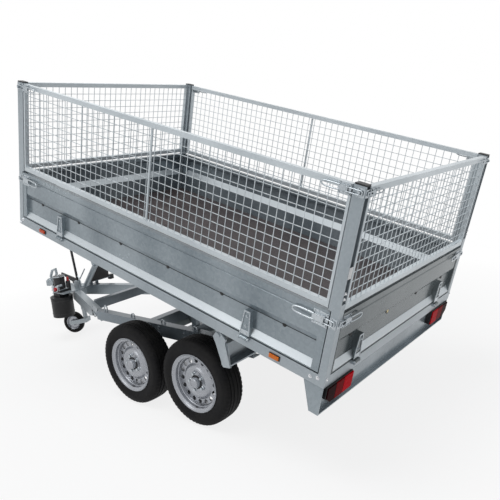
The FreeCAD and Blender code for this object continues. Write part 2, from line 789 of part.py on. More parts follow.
def mesh_panel(start, end, stanchion, pins):
    low = mesh_low
    high = mesh_top - 3.0
    v0 = frame_out - frame_side
    panel = block(start, end, v0, frame_out, low, high)
    panel = panel.cut(
        block(start + upright, end - upright, v0 - 1, frame_out + 1, low + frame_side, high - frame_side)
    )
    middle = v0 + frame_side / 2
    wires = []
    count = int(round((end - start - 2 * upright) / cell))
    step = (end - start - 2 * upright) / count
    for i in range(1, count):
        u = start + upright + i * step
        wires.append(
            block(
                u - wire / 2, u + wire / 2, middle + 0.3, middle + 0.3 + wire,
                low + frame_side - 1, high - frame_side + 1,
            )
        )
    rows = int(round((high - low - 2 * frame_side) / cell))
    rise = (high - low - 2 * frame_side) / rows
    for i in range(1, rows):
        w = low + frame_side + i * rise
        wires.append(
            block(
                start + upright - 1, end - upright + 1, middle - 0.3 - wire, middle - 0.3,
                w - wire / 2, w + wire / 2,
            )
        )
    panel = panel.fuse(wires)
    if stanchion:
        mid = (start + end) / 2
        bar = block(mid - 6, mid + 6, middle + 1.0, middle + 10.0, low + frame_side - 1, high - frame_side + 1)
        panel = panel.fuse(bar)
    if pins:
        for a, b in ((start - pin_reach, start + 1), (end - 1, end + pin_reach)):
            panel = panel.fuse(rod(gate_pin_radius, V(a, gate_v, gate_w), V(b, gate_v, gate_w)))
    return panel.removeSplitter()


side_start = post_length + board_gap
left_mesh = mesh_panel(side_start, bed_length - side_start, True, True)
save("mesh_left", left_mesh, on_bed=True)
save("mesh_right", mirrored(left_mesh), on_bed=True)
rear_mesh = to_rear(mesh_panel(-half + board_start, half - board_start, False, True))
save("mesh_rear", rear_mesh, on_bed=True)
front_mesh = to_rear(mesh_panel(-half + post_size + 0.5, half - post_size - 0.5, False, False))
front_mesh = front_mesh.mirror(V(bed_length / 2, 0, 0), V(1, 0, 0))
save("mesh_front", front_mesh, on_bed=True)

# Lamp panel below the rear rail and the lamps in it
panel_face = 26.0
panel_depth = 116.0
lamp_panel = block(2, panel_depth, -half + 4, half - 4, -lamp_drop, -0.3)
front_of_web = block(-1, panel_face, -half + 10, half - 10, -lamp_drop + 6, -6.3)
behind_web = block(panel_face + 6, panel_depth + 1, -half + 10, half - 10, -lamp_drop - 1, 1)
lamp_panel = lamp_panel.cut(front_of_web).cut(behind_web)
for sign in (1, -1):
    wedge = prism(
        [
            V(panel_depth + 1, -half - 1, -lamp_drop - 1),
            V(panel_depth + 1, -half - 1, 0),
            V(56, -half - 1, -lamp_drop - 1),
        ],
        V(0, 13, 0),
    )
    if sign > 0:
        wedge = mirrored(wedge)
    lamp_panel = lamp_panel.cut(wedge)
save("lamp_panel", lamp_panel, on_bed=True)
lamps = []
lamp_inset = 156.0
lamp_reach = 126.0
lamp_height = 98.0
lamp_top = -6.6
for centre_y in (lamp_inset - half, half - lamp_inset):
    side_a = centre_y - lamp_reach
    side_b = centre_y + lamp_reach
    lamps.append(block(-14, panel_face - 0.3, side_a, side_b, lamp_top - lamp_height, lamp_top))
save("rear_lamps", lamps, on_bed=True)
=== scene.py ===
import math

import bmesh
import bpy
from mathutils import Matrix, Vector


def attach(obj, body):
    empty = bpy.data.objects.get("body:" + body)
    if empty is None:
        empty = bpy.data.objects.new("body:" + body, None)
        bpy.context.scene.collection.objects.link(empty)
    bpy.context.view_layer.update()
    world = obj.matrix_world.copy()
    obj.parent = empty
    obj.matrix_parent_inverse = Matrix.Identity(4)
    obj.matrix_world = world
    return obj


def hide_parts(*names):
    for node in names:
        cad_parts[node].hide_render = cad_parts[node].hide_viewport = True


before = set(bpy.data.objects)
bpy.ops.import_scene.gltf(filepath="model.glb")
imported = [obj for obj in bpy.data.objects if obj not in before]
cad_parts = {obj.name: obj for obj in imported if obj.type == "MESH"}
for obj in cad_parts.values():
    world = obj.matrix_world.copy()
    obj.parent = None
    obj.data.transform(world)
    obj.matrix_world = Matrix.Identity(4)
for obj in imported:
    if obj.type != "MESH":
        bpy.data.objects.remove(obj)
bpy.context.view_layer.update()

# ---------------------------------------------------------------- places
# The chassis is written in millimetres from the rear axle on the ground,
# the bed in millimetres along it (u), to the left (v) and up (w).
BALL = Vector((2665.0, 0.0, 425.0))
HINGE = Vector((-287.0, 0.0, 644.0))
HINGE_ON_BED = Vector((684.0, 0.0, -30.0))
TILT = math.radians(15.6)
CHASSIS = Matrix.Scale(0.001, 4) @ Matrix.Translation(-BALL)
BED = (
    CHASSIS
    @ Matrix.Translation(HINGE)
    @ Matrix.Rotation(TILT, 4, Vector((0, -1, 0)))
    @ Matrix.Translation(-HINGE_ON_BED)
)
UP = Vector((0, 0, 1))
SIDES = ((1, "left"), (-1, "right"))

# Bed: length, half its width, the posts, and the pins of the boards
LENGTH = 2620.0
HALF = 800.0
POST = 60.0
POST_TOP = 992.0
SIDE_STRAPS = (497.0, LENGTH - 497.0)
REAR_STRAP = 520.0
PIN_W = 50.0

# Boards: start of a board at a corner, and its field between the end stiffeners
BOARD_START = 47.0
FIELD_START = 89.0
FIELD_V = 778.0
REAR_FIELD_HALF = 742.0


# ---------------------------------------------------------------- finishes
class Socket:
    """A shader value that can be used in plain arithmetic."""

    def __init__(self, nodes, out):
        self.nodes = nodes
        self.out = out

    def maths(self, operation, first, second):
        return self.nodes.node("ShaderNodeMath", {"operation": operation}, {0: first, 1: second})

    def __add__(self, other):
        return self.maths("ADD", self, other)

    __radd__ = __add__

    def __mul__(self, other):
        return self.maths("MULTIPLY", self, other)

    __rmul__ = __mul__


class Nodes:
    """A node tree, emptied first, and the method that adds and fills its nodes."""

    def __init__(self, tree):
        self.tree = tree
        tree.nodes.clear()

    def node(self, kind, settings, sockets, out=0):
        made = self.tree.nodes.new(kind)
        for key, value in settings.items():
            setattr(made, key, value)
        self.fill(made, sockets)
        return Socket(self, made.outputs[out]) if made.outputs else None

    def fill(self, made, sockets):
        """Links or sets sockets of a node; a colour is three numbers."""
        for key, value in sockets.items():
            socket = made.inputs[key]
            if isinstance(value, Socket):
                self.tree.links.new(value.out, socket)
            else:
                socket.default_value = (*value, 1.0) if socket.type == "RGBA" else value

    def clamp(self, value, low, high, to_low=0.0, to_high=1.0):
        sockets = {"Value": value, 1: low, 2: high, 3: to_low, 4: to_high}
        return self.node("ShaderNodeMapRange", {"clamp": True}, sockets)

    def seen_rays(self):
        """1 where the camera looks straight, in gloss or through a clear piece, and 0 elsewhere."""
        straight, gloss, through = (
            self.node("ShaderNodeLightPath", {}, {}, out)
            for out in ("Is Camera Ray", "Is Glossy Ray", "Is Transmission Ray")
        )
        return self.clamp(straight + gloss + through, 0.0, 1.0)


class Finish(Nodes):
    """One material with a Principled shader and the nodes that feed it."""

    def __init__(self, name, **plain):
        self.material = bpy.data.materials.new(name)
        self.material.use_nodes = True
        super().__init__(self.material.node_tree)
        self.shader = self.tree.nodes.new("ShaderNodeBsdfPrincipled")
        self.end = self.tree.nodes.new("ShaderNodeOutputMaterial")
        self.tree.links.new(self.shader.outputs[0], self.end.inputs[0])
        self.place = self.node("ShaderNodeTexCoord", {}, {}, "Object")
        for key, value in plain.items():
            self.feed(key.replace("_", " ").title().replace("Ior", "IOR"), value)

    def feed(self, name, value):
        self.fill(self.shader, {name: value})

    def noise(self, scale, detail, rough=0.5, at=None):
        sockets = {
            "Vector": at or self.place, "Scale": scale, "Detail": detail, "Roughness": rough,
        }
        return self.node("ShaderNodeTexNoise", {}, sockets)

    def stretch(self, scale):
        return self.node("ShaderNodeMapping", {}, {"Vector": self.place, "Scale": scale})

    def blend(self, factor, first, second):
        sockets = {0: factor, 6: first, 7: second}
        return self.node("ShaderNodeMix", {"data_type": "RGBA"}, sockets, 2)

    def bump(self, height, strength, distance):
        sockets = {"Height": height, "Strength": strength, "Distance": distance}
        self.feed("Normal", self.node("ShaderNodeBump", {}, sockets))


def galvanised(name, light, dark, spangle, shine, metal=0.42):
    """Zinc with soft clouds, faint upright streaks and a trace of its spangle."""
    finish = Finish(name, metallic=metal)
    cells = finish.node(
        "ShaderNodeTexVoronoi", {}, {"Vector": finish.place, "Scale": spangle}, "Color"
    )
    flake = finish.node("ShaderNodeSeparateColor", {}, {"Color": cells})
    cloud = finish.noise(1.1, 2.0)
    streak = finish.noise(2.4, 2.0, 0.5, finish.stretch((1.0, 1.0, 0.12)))
    wear = finish.clamp(cloud * 0.50 + streak * 0.45 + flake * 0.05, 0.38, 0.62)
    finish.feed("Base Color", finish.blend(wear, dark, light))
    finish.feed("Roughness", shine + flake * 0.02 + cloud * 0.13)
    finish.bump(finish.noise(6.0, 1.0), 0.12, 0.0025)
    return finish.material


def tyre_rubber():
    finish = Finish("tyre_rubber", metallic=0.0, specular_ior_level=0.12)
    dust = finish.clamp(finish.noise(9.0, 5.0, 0.65), 0.40, 0.85)
    finish.feed("Base Color", finish.blend(dust, (0.009, 0.009, 0.010), (0.030, 0.029, 0.028)))
    finish.feed("Roughness", 0.62 + dust * 0.25)
    finish.bump(finish.noise(420.0, 3.0), 0.35, 0.0006)
    return finish.material


def wheel_paint():
    finish = Finish("silver_wheel_paint", metallic=0.7)
    grime = finish.clamp(finish.noise(16.0, 5.0, 0.7), 0.5, 0.85)
    silver = finish.blend(grime * 0.25, (0.37, 0.385, 0.415), (0.24, 0.245, 0.255))
    finish.feed("Base Color", silver)
    finish.feed("Roughness", 0.27 + grime * 0.12)
    return finish.material


def film_plywood():
    """Brown film over plywood, with the fine weave of an anti-slip face."""
    finish = Finish("film_faced_plywood", metallic=0.0, specular_ior_level=0.35)
    grain = finish.noise(7.0, 5.0, 0.6, finish.stretch((0.35, 3.0, 1.0)))
    scuff = finish.clamp(finish.noise(3.2, 6.0, 0.7), 0.50, 0.72)
    weave_u, weave_v = (
        finish.node(
            "ShaderNodeTexWave", {"bands_direction": way}, {"Vector": finish.place, "Scale": 95.0}
        )
        for way in ("X", "Y")
    )
    brown = finish.blend(grain, (0.034, 0.027, 0.027), (0.066, 0.052, 0.053))
    finish.feed("Base Color", finish.blend(scuff * 0.40, brown, (0.13, 0.115, 0.11)))
    finish.feed("Roughness", 0.42 + scuff * 0.22)
    finish.bump(weave_u * weave_v + grain * 0.4, 0.30, 0.0012)
    return finish.material


def moulded(name, colour, pale, rough, grain=260.0, gloss=0.3, ior=1.5):
    """Plastic, rubber or paint, paler where dust lies on it."""
    finish = Finish(name, metallic=0.0, specular_ior_level=gloss, ior=ior)
    dust = finish.clamp(finish.noise(12.0, 4.0, 0.6), 0.45, 0.9)
    finish.feed("Base Color", finish.blend(dust, colour, pale))
    finish.feed("Roughness", rough + dust * 0.18)
    finish.bump(finish.noise(grain, 2.0), 0.20, 0.0005)
    return finish.material


LENS_GRAIN = 60.0
LAMP_IOR = 1.06

ZINC = galvanised("galvanised_sheet", (0.365, 0.415, 0.445), (0.170, 0.208, 0.235), 70.0, 0.18)
# Painted shade: a darker copy of the sheet's zinc, for the tailboard that faces away from the light
ZINC_REAR_SHADED = galvanised(
    "galvanised_tailboard_painted_shade", (0.175, 0.200, 0.208), (0.085, 0.103, 0.110), 70.0, 0.16
)
# Painted highlight: a paler copy of the sheet's zinc, for the ledges that face up to the light
ZINC_LEDGE_HIGHLIGHT = galvanised("galvanised_ledge_painted_highlight", (0.64, 0.69, 0.72), (0.56, 0.61, 0.64), 70.0, 0.24)
ZINC_BAR = galvanised("galvanised_bar", (0.44, 0.485, 0.515), (0.29, 0.335, 0.365), 90.0, 0.24)
# Painted shade: a darker copy of the zinc, for the beams and crossbars in the shade under the bed
ZINC_BEAM_SHADED = galvanised(
    "galvanised_longeron_painted_shade", (0.27, 0.31, 0.345), (0.16, 0.19, 0.215), 90.0, 0.22
)
ZINC_DARK = galvanised("galvanised_beam", (0.22, 0.255, 0.262), (0.12, 0.145, 0.150), 80.0, 0.32)
ZINC_WIRE = galvanised("galvanised_mesh", (0.64, 0.69, 0.72), (0.50, 0.55, 0.58), 120.0, 0.28)
ZINC_BRIGHT = galvanised(
    "bright_zinc", (0.58, 0.62, 0.65), (0.38, 0.42, 0.45), 120.0, 0.20, 0.65
)
TYRE = tyre_rubber()
WHEEL = wheel_paint()
PLYWOOD = film_plywood()
BLACK = moulded("black_moulded_plastic", (0.014, 0.014, 0.015), (0.045, 0.045, 0.047), 0.42)
RUBBER = moulded("black_rubber", (0.020, 0.020, 0.021), (0.055, 0.053, 0.050), 0.68, 180.0)
PAINT = moulded("black_paint", (0.020, 0.020, 0.022), (0.060, 0.060, 0.062), 0.34, 90.0, 0.35)
RED_LENS = moulded(
    "red_lens", (0.56, 0.002, 0.010), (0.62, 0.004, 0.014), 0.18, LENS_GRAIN, ior=LAMP_IOR
)
# Painted shade: darker copies of the red lens, for the middle and outer parts of each lamp
RED_HALF_SHADE = moulded(
    "red_lens_painted_half_shade", (0.190, 0.002, 0.004), (0.24, 0.003, 0.006), 0.18, LENS_GRAIN, ior=LAMP_IOR
)
RED_FULL_SHADE = moulded(
    "red_lens_painted_shade", (0.024, 0.002, 0.003), (0.034, 0.004, 0.005), 0.18, LENS_GRAIN, ior=LAMP_IOR
)
AMBER = moulded("amber_lens", (0.75, 0.16, 0.010), (0.85, 0.26, 0.030), 0.16, LENS_GRAIN)
ORANGE = moulded("orange_lens", (0.62, 0.065, 0.012), (0.70, 0.12, 0.030), 0.16, LENS_GRAIN)
RED_CAP = moulded("red_cap", (0.50, 0.020, 0.025), (0.62, 0.080, 0.080), 0.35, 120.0)
BRASS = galvanised("brass_lock", (0.62, 0.52, 0.26), (0.44, 0.36, 0.18), 200.0, 0.25, 0.8)
LABEL = moulded("blank_label", (0.80, 0.80, 0.80), (0.70, 0.70, 0.69), 0.40, 60.0)
PLATED = galvanised("plated_rod", (0.74, 0.75, 0.77), (0.60, 0.61, 0.63), 400.0, 0.12, 0.95)

# Finishes of the source's nodes, by name or by the first word of the name
FINISH_OF = {
    "floor_panel": PLYWOOD, "overrun_gaiter": RUBBER, "rear_lamps": RED_LENS,
    "power_pack_tank": BLACK, "battery_box": BLACK,
    "power_pack_motor": PAINT, "jockey_spindle": PAINT, "brake_lever": PAINT,
    "ram_barrel": PAINT, "ram_stage_1": PLATED, "ram_stage_2": PLATED, "ram_stage_3": PLATED,
    "board_left": ZINC, "board_right": ZINC, "board_front": ZINC, "board_rear": ZINC_REAR_SHADED,
    "lamp_panel": ZINC, "chassis_beams": ZINC_BEAM_SHADED, "chassis_crossbars": ZINC_BEAM_SHADED,
    "bed_subframe": ZINC_DARK, "axles": ZINC_DARK, "ram_cradle": ZINC_DARK,
    "jockey_tyre": TYRE, "jockey_rim": WHEEL, "tyre": TYRE, "rim": WHEEL, "mesh": ZINC_WIRE,
}
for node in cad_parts:
    first_word = node.split("_")[0]
    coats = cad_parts[node].data.materials
    coats.clear()
    coats.append(FINISH_OF.get(node) or FINISH_OF.get(first_word, ZINC_BAR))


# ---------------------------------------------------------------- shapes
def add(name, data):
    """Adds an object for a mesh, curve, camera or lamp to the scene."""
    made = bpy.data.objects.new(name, data)
    bpy.context.scene.collection.objects.link(made)
    return made


def add_mesh(name, bm, material):
    mesh = bpy.data.meshes.new(name)
    bm.to_mesh(mesh)
    bm.free()
    mesh.materials.append(material)
    return add(name, mesh)


def finish_piece(name, bm, place, body, material, replaces=(), crease=20.0):
    """Closes a shape, puts it in its place and gives it to its body."""
    bmesh.ops.remove_doubles(bm, verts=bm.verts, dist=0.01)
    bmesh.ops.recalc_face_normals(bm, faces=bm.faces)
    bmesh.ops.transform(bm, matrix=place, verts=bm.verts)
    for face in bm.faces:
        face.smooth = True
    for edge in bm.edges:
        if len(edge.link_faces) != 2 or edge.calc_face_angle(0.0) > math.radians(crease):
            edge.smooth = False
    piece = add_mesh(name, bm, material)
    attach(piece, body)
    if replaces:
        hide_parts(*replaces)


def round_edges(bm, verts, width):
    edges = list({edge for vert in verts for edge in vert.link_edges})
    bmesh.ops.bevel(
        bm, geom=edges, offset=width, offset_type="OFFSET", affect="EDGES", segments=2,
        profile=0.5, material=-1,
    )


def box_at(bm, one, other, bevel=0.0):
    """A box between any two opposite corners."""
    corners = list(zip(one, other))
    low = Vector([min(pair) for pair in corners])
    high = Vector([max(pair) for pair in corners])
    made = bmesh.ops.create_cube(bm, size=1.0)["verts"]
    bmesh.ops.scale(bm, vec=high - low, verts=made)
    bmesh.ops.translate(bm, vec=(low + high) / 2, verts=made)
    if bevel:
        round_edges(bm, made, bevel)


def bar(bm, start_at, end_at, radius, radius_end=None, sides=20):
    start_at, end_at = Vector(start_at), Vector(end_at)
    turn = UP.rotation_difference(end_at - start_at).to_matrix().to_4x4()
    bmesh.ops.create_cone(
        bm, cap_ends=True, segments=sides, radius1=radius,
        radius2=radius if radius_end is None else radius_end,
        depth=(end_at - start_at).length,
        matrix=Matrix.Translation((start_at + end_at) / 2) @ turn,
    )


def turned(bm, profile, centre, axis, steps):
    """Spins a profile of (along the axis, radius) points round the axis."""
    axis = Vector(axis).normalized()
    side = Vector((0, 0, 1)) if abs(axis.z) < 0.9 else Vector((1, 0, 0))
    side = (side - axis * side.dot(axis)).normalized()
    centre = Vector(centre)
    verts = [bm.verts.new(centre + axis * a + side * r) for a, r in profile]
    edges = [bm.edges.new(pair) for pair in zip(verts[:-1], verts[1:])]
    bmesh.ops.spin(
        bm, geom=verts + edges, cent=centre, axis=axis, angle=2 * math.pi, steps=steps,
        use_merge=True,
    )


def plate(bm, outline, push, bevel=0.0):
    """Extrudes a flat outline by the vector push."""
    verts = [bm.verts.new(Vector(point)) for point in outline]
    face = bm.faces.new(verts)
    made = bmesh.ops.extrude_face_region(bm, geom=[face])["geom"]
    moved = [part for part in made if isinstance(part, bmesh.types.BMVert)]
    bmesh.ops.translate(bm, vec=Vector(push), verts=moved)
    if bevel:
        round_edges(bm, verts + moved, bevel)


def bolt(bm, at, axis, across, height, washer=True):
    at, axis = Vector(at), Vector(axis).normalized()
    seat = at + axis * 1.5
    if washer:
        bar(bm, at, seat, across * 0.85)
    bar(bm, seat, at + axis * (1.5 + height), across * 0.56, across * 0.52, sides=6)


def wire(name, points, radius, place, body, material):
    """A bent round bar that follows its points."""
    curve = bpy.data.curves.new(name, "CURVE")
    curve.dimensions = "3D"
    curve.bevel_depth = radius
    curve.bevel_resolution = 3
    curve.use_fill_caps = True
    line = curve.splines.new("NURBS")
    line.points.add(len(points) - 1)
    for point, at in zip(line.points, points):
        point.co = (*at, 1.0)
    line.order_u = 3
    line.use_endpoint_u = True
    holder = add(name + "_line", curve)
    bpy.context.view_layer.update()
    bent = holder.evaluated_get(bpy.context.evaluated_depsgraph_get())
    mesh = bpy.data.meshes.new_from_object(bent)
    bm = bmesh.new()
    bm.from_mesh(mesh)
    bpy.data.objects.remove(holder)
    bpy.data.meshes.remove(mesh)
    finish_piece(name, bm, place, body, material, crease=60.0)


class Face:
    """A face of the bed, with places along it, outward from it and up."""

    def __init__(self, origin, along, out):
        self.origin, self.along, self.out = Vector(origin), Vector(along), Vector(out)

    def at(self, a, out, up):
        return self.origin + self.along * a + self.out * out + UP * up


# ---------------------------------------------------------------- wheels
# A profile gives distances outward from the middle of the tyre, and radii.
WHEEL_Y = 667.5
WHEEL_RADIUS = 273.0
TYRE_STEPS = 180
TYRE_HALF = [
    (60.0, 166.0), (66.0, 170.0), (69.0, 178.0), (71.0, 184.0), (72.0, 190.0), (71.6, 192.0),
    (74.0, 200.0), (77.0, 212.0), (78.2, 224.0), (78.5, 230.0), (77.8, 240.0), (76.8, 242.0),
    (75.5, 250.0), (72.5, 258.0), (68.0, 264.0), (61.0, 268.2), (52.0, 270.4), (45.0, 271.3),
    (43.5, 265.5), (38.5, 265.5), (37.0, 271.9), (30.0, 272.3), (20.0, 272.6), (18.5, 266.5),
    (13.5, 266.5), (12.0, 272.8), (0.0, 273.0),
]
# Tread notches: from, to, least radius, which step of three, depth
TREAD_NOTCHES = ((50.0, 74.0, 257.0, 0, 3.6), (25.0, 33.0, 270.0, 1, 2.5))
RIM_LIP = [
    (70.0, 184.0), (74.5, 182.5), (75.0, 179.0), (72.0, 176.5), (68.0, 172.0), (65.0, 164.0),
    (63.0, 160.5), (54.0, 158.5), (46.0, 157.5), (44.0, 154.0), (38.0, 151.5), (33.0, 150.5),
    (30.5, 149.0),
]
RIM_CENTRE = [
    (30.5, 113.0), (33.0, 110.0), (42.0, 102.0), (49.0, 94.0), (52.0, 86.0), (51.0, 78.0),
    (47.0, 72.0), (45.0, 66.0), (45.0, 37.0), (42.0, 36.0), (40.0, 33.5), (62.0, 32.0),
    (70.0, 29.0), (74.0, 23.0), (76.0, 12.0), (76.5, 0.0),
]
RIM_BACK = [
    (30.5, 149.0), (12.0, 151.0), (-20.0, 152.0), (-62.0, 158.0), (-70.0, 176.0),
    (-73.0, 182.0), (-70.0, 184.0),
]
CAP_EDGE = [(60.0, 33.4), (64.0, 33.0), (64.0, 30.0)]
# Painted shade: thin dark rings in the gaps round the hub cap and at the edge of the disc
CAP_GAP_SHADE = [(44.0, 43.5), (45.8, 43.0), (45.8, 33.0), (41.0, 32.8)]
DISC_GAP_SHADE = [(30.0, 148.6), (30.9, 148.4), (30.9, 146.8), (30.0, 146.6)]
DRUM = [
    (-6, 0), (-6, 60), (-10, 104), (-16, 110), (-60, 110), (-62, 114), (-68, 114), (-68, 0),
]
DRUM_BACK = [(-70, 0), (-70, 112), (-73, 116), (-78, 116), (-80, 100), (-84, 60), (-86, 0)]

# The flat ring of the disc, with its round vents
RING_OUT = 30.5
RING_INNER = 113.0
RING_OUTER = 149.0
VENTS = 16
VENT_CIRCLE = 131.0
VENT_RADIUS = 14.5
VENT_SIDES = 14
VENT_DEPTH = 5.0

WHEEL_BOLTS = 5
BOLT_CIRCLE = 53.0
BOLT_OUT = 44.5


def vent_ring(bm, centre, axis):
    """One sector of the ring with its vent, repeated round the axle."""
    middle = centre + axis * RING_OUT
    half = math.pi / VENTS

    def at(fore, up):
        return bm.verts.new(middle + Vector((fore, 0, up)))

    def arc(angles, radius):
        return [at(math.sin(angle) * radius, math.cos(angle) * radius) for angle in angles]

    outer = arc([half * (i / 2 - 1) for i in range(5)], RING_OUTER)
    inner = arc([half * (1 - i / 2) for i in range(5)], RING_INNER)
    border = outer + inner
    border_edges = [bm.edges.new(pair) for pair in zip(border, border[1:] + border[:1])]
    turns = [2 * math.pi * i / VENT_SIDES for i in range(VENT_SIDES)]
    hole = [
        at(VENT_RADIUS * math.sin(turn), VENT_CIRCLE + VENT_RADIUS * math.cos(turn))
        for turn in turns
    ]
    hole_edges = [bm.edges.new(pair) for pair in zip(hole, hole[1:] + hole[:1])]
    edges = border_edges + hole_edges
    filled = bmesh.ops.triangle_fill(bm, use_beauty=True, edges=edges)["geom"]
    walls = bmesh.ops.extrude_edge_only(bm, edges=hole_edges)["geom"]
    moved = [part for part in walls if isinstance(part, bmesh.types.BMVert)]
    bmesh.ops.translate(bm, vec=axis * -VENT_DEPTH, verts=moved)
    bmesh.ops.spin(
        bm, geom=list(set(border + hole + edges + filled + walls)), cent=centre, axis=axis,
        angle=2 * math.pi * (VENTS - 1) / VENTS, steps=VENTS - 1, use_duplicate=True,
    )


def notch_tread(bm, centre, axis):
    for vert in bm.verts:
        out = vert.co - centre
        across = abs(out.dot(axis))
        radial = out - axis * out.dot(axis)
        angle = math.degrees(math.atan2(radial.x, radial.z))
        turn = round(angle / (360.0 / TYRE_STEPS)) % 3
        for near, far, least, which, depth in TREAD_NOTCHES:
            if near < across < far and radial.length > least and turn == which:
                vert.co -= radial.normalized() * depth


def dress_wheel(label, x, side):
    centre = Vector((x, side * WHEEL_Y, WHEEL_RADIUS))
    axis = Vector((0, side, 0))
    body = "wheel_" + label

    bm = bmesh.new()
    profile = [(-a, r) for a, r in TYRE_HALF] + TYRE_HALF[-2::-1]
    turned(bm, profile, centre, axis, TYRE_STEPS)
    notch_tread(bm, centre, axis)
    finish_piece("tyre_tread_" + label, bm, CHASSIS, body, TYRE, ("tyre_" + label,), 40.0)

    bm = bmesh.new()
    turned(bm, RIM_LIP, centre, axis, 72)
    turned(bm, RIM_CENTRE, centre, axis, 60)
    turned(bm, RIM_BACK, centre, axis, 60)
    vent_ring(bm, centre, axis)
    finish_piece(
        "wheel_disc_" + label, bm, CHASSIS, body, WHEEL, ("rim_" + label,), 32.0
    )

    bm = bmesh.new()
    for i in range(WHEEL_BOLTS):
        angle = 2 * math.pi * (i + 0.25) / WHEEL_BOLTS
        fore, up = math.sin(angle) * BOLT_CIRCLE, math.cos(angle) * BOLT_CIRCLE
        spot = centre + Vector((fore, side * BOLT_OUT, up))
        turned(bm, [(0.0, 12.5), (3.0, 10.5)], spot, axis, 24)
        bar(bm, spot, spot + axis * 13.0, 9.2, 8.4, 6)
    turned(bm, CAP_EDGE, centre, axis, 48)
    finish_piece("wheel_bolts_" + label, bm, CHASSIS, body, ZINC_BRIGHT)

    # Thin dark rings in the gaps of the disc, as painted shade, and the valve
    bm = bmesh.new()
    turned(bm, CAP_GAP_SHADE, centre, axis, 48)
    turned(bm, DISC_GAP_SHADE, centre, axis, 72)
    stem = centre + Vector((0, side * 60.0, -157.0))
    bar(bm, stem, stem + Vector((0, side * 13.0, 6.0)), 4.6, 3.2, 14)
    finish_piece("wheel_gap_shade_and_valve_" + label, bm, CHASSIS, body, RUBBER)

    bm = bmesh.new()
    turned(bm, DRUM, centre, axis, 60)
    finish_piece("brake_drum_" + label, bm, CHASSIS, body, PAINT)
    bm = bmesh.new()
    turned(bm, DRUM_BACK, centre, axis, 60)
    finish_piece("brake_plate_" + label, bm, CHASSIS, "chassis", ZINC_DARK)


for label, x, side in (
    ("rear_left", 0.0, 1), ("rear_right", 0.0, -1), ("front_left", 586.0, 1),
    ("front_right", 586.0, -1),
):
    dress_wheel(label, x, side)

# ---------------------------------------------------------------- bed fittings
# Latches: the grip and the loop round the stud; along the latch, outward, up
BOARD_LATCH_W = 343.0
GATE_LATCH_W = 962.0
LATCH_LENGTH = 84.0
GRIP = (
    (74, 12, 15), (114, 14, 17), (180, 16, 15), (194, 16, 0), (180, 16, -15), (114, 14, -17),
    (74, 12, -15),
)
LOOP_OUT = 9.0
LOOP_END = ((22, 13), (13, 12), (11, 0), (13, -12), (22, -13))


def toggle_latch(name, face, body, start_a, size):
    """A toggle latch on a board or gate, with its loop round a stud on the post."""

    def on(a, out, up):
        """A place on the latch: outward in millimetres, the others in the latch's size."""
        return face.at(start_a + a * size, out, up * size)

    bm = bmesh.new()
    box_at(bm, on(0, -3, -36), on(LATCH_LENGTH, 3, 36), 1.2)
    for up in (-20, 20):
        box_at(bm, on(14, 3, up) - UP * 2, on(68, 15 * size, up) + UP * 2, 0.8)
    for a in (8, 76):
        for up in (-28, 28):
            bolt(bm, on(a, 3, up), face.out, 6.5 * size + 2, 3.0, False)
    box_at(bm, on(20, 9 * size, -17), on(LATCH_LENGTH, 13 * size, 17), 1.5)
    bar(bm, on(30, 10 * size, -24), on(30, 10 * size, 24), 4.0)
    finish_piece(name + "_plate", bm, BED, body, ZINC_BRIGHT)
    grip = [on(a, out * size, up) for a, out, up in GRIP]
    wire(name + "_grip", grip, 3.6 * size + 0.8, BED, body, ZINC_BRIGHT)
    loop = [face.at(a, LOOP_OUT, up * size) for a, up in LOOP_END]
    loop = [on(30, LOOP_OUT, 13), *loop, on(30, LOOP_OUT, -13)]
    wire(name + "_loop", loop, 3.0, BED, body, ZINC_BRIGHT)


def latch_stud(bm, face, size):
    box_at(bm, face.at(2, -1, -26 * size), face.at(40, 3, 26 * size), 1.0)
    box_at(bm, face.at(19, 2, -7 * size), face.at(27, 15, 7 * size), 1.5)
    for up in (-19, 19):
        bolt(bm, face.at(32, 2.5, up * size), face.out, 6.0 * size + 2, 3.0, False)


studs = bmesh.new()
for side, label in SIDES:
    for end, u, forward in (("rear", 0.0, 1.0), ("front", LENGTH, -1.0)):
        low = Face((u, side * HALF, BOARD_LATCH_W), (forward, 0, 0), (0, side, 0))
        name = "board_latch_%s_%s" % (label, end)
        toggle_latch(name, low, label + "_board", BOARD_START, 1.0)
        latch_stud(studs, low, 1.0)
        high = Face((u, side * HALF, GATE_LATCH_W), (forward, 0, 0), (0, side, 0))
        name = "gate_latch_%s_%s" % (label, end)
        toggle_latch(name, high, label + "_gate", POST + 6.0, 0.75)
        latch_stud(studs, high, 0.8)
    low = Face((0.0, side * HALF, BOARD_LATCH_W), (0, -side, 0), (-1, 0, 0))
    toggle_latch("rear_latch_" + label, low, "rear_board", BOARD_START, 0.85)
    latch_stud(studs, low, 0.85)
    high = Face((2.0, side * HALF, GATE_LATCH_W), (0, -side, 0), (-1, 0, 0))
    toggle_latch("rear_gate_latch_" + label, high, "rear_gate", BOARD_START, 0.55)
    high = Face((0.0, side * HALF, GATE_LATCH_W), (0, -side, 0), (-1, 0, 0))
    latch_stud(studs, high, 0.7)
finish_piece("latch_studs", studs, BED, "bed", ZINC_BRIGHT)

# Bolts that hold the rails, posts and front board
RAIL_BOLTS = ((41.0, 41.0), (82.0, 30.0), (2579.0, 41.0), (2608.0, 12.0))
POST_BOLT_V = 787.0
POST_BOLT_W = (46.0, 472.0, 500.0)
FRONT_BOLT_V = 772.0
FRONT_BOLT_W = (100.0, 230.0, 360.0, 440.0, 960.0)
bm = bmesh.new()
for side, _ in SIDES:
    for u, w in RAIL_BOLTS:
        bolt(bm, (u, side * HALF, w), (0, side, 0), 12.0, 6.0)
    for w in POST_BOLT_W:
        bolt(bm, (0.0, side * POST_BOLT_V, w), (-1, 0, 0), 10.0, 5.0)
        bolt(bm, (LENGTH, side * POST_BOLT_V, w), (1, 0, 0), 10.0, 5.0)
    for w in FRONT_BOLT_W:
        bolt(bm, (LENGTH, side * FRONT_BOLT_V, w), (1, 0, 0), 9.0, 5.0)
finish_piece("bed_bolts", bm, BED, "bed", PLATED)

